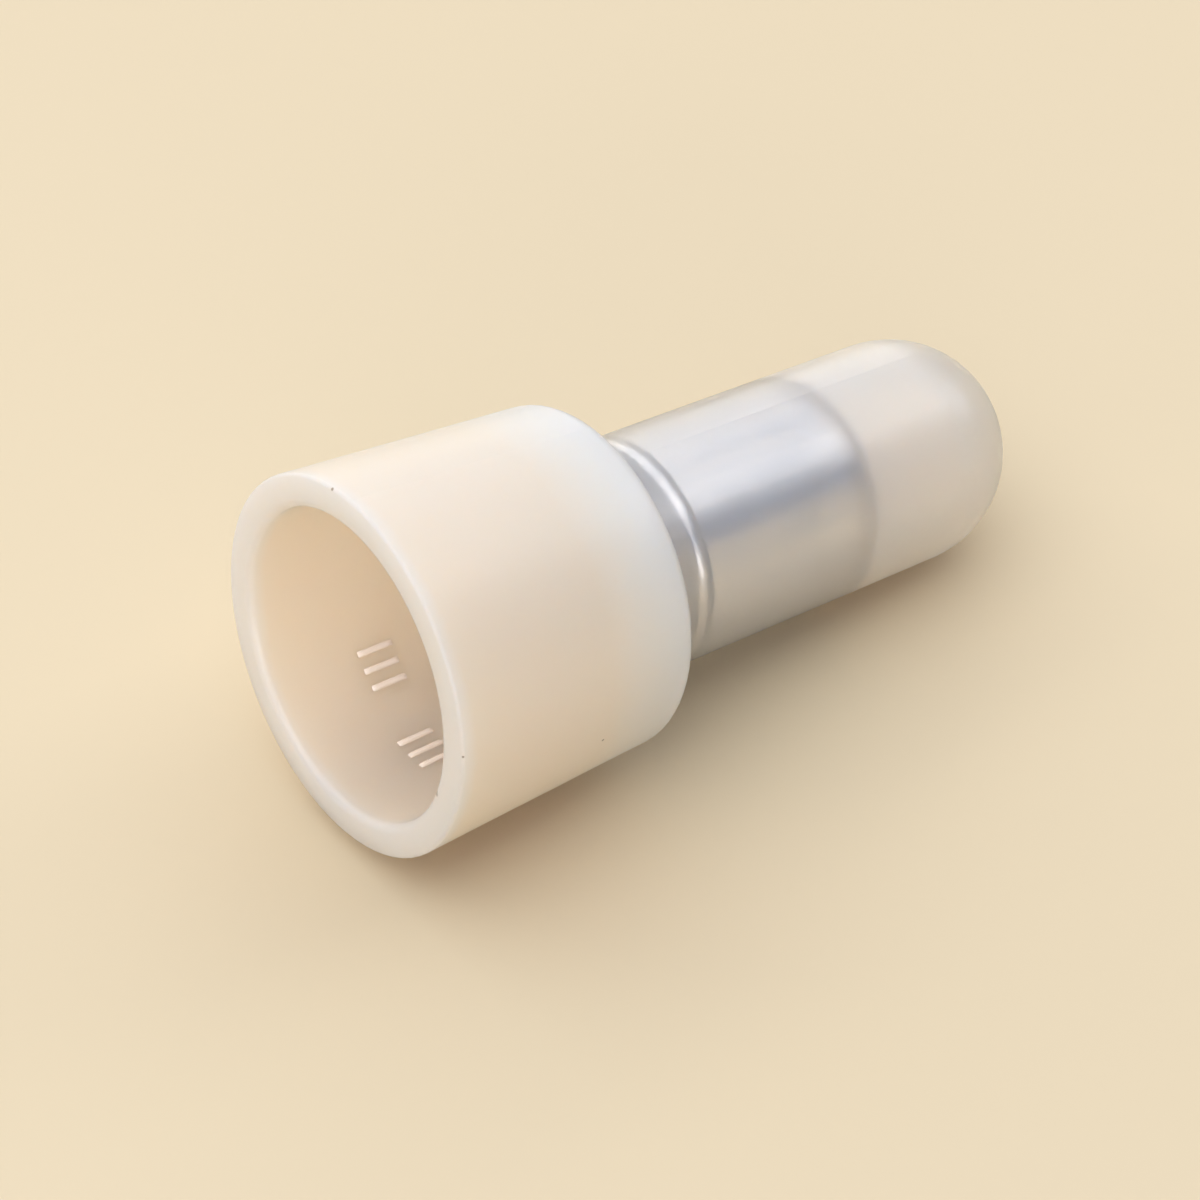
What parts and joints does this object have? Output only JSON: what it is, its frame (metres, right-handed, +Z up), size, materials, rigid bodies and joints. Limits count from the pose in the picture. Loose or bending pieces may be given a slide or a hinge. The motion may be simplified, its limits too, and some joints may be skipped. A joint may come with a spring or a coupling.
{
  "type": "wire joint connector",
  "caption": "Closed-end crimp connector: a translucent nylon cap with a bell mouth and a round closed end, holding a tinned metal sleeve that joins stripped wires.",
  "frame": {"origin": "middle of the underside of the part's box, on the surface that the part lies on", "axes": "+X along the part's length, from the closed end towards the mouth; +Z up from the surface; the part's own axis dips 7.14 degrees towards the closed end"},
  "size_m": [0.0254, 0.0114, 0.0119],
  "materials": {
    "nylon": "milky translucent moulded nylon",
    "tinned_metal": "bright tin plating over a copper alloy"
  },
  "bodies": {
    "root": {"insulating_cap": "nylon", "crimp_sleeve": "tinned_metal"}
  },
  "joints": []
}
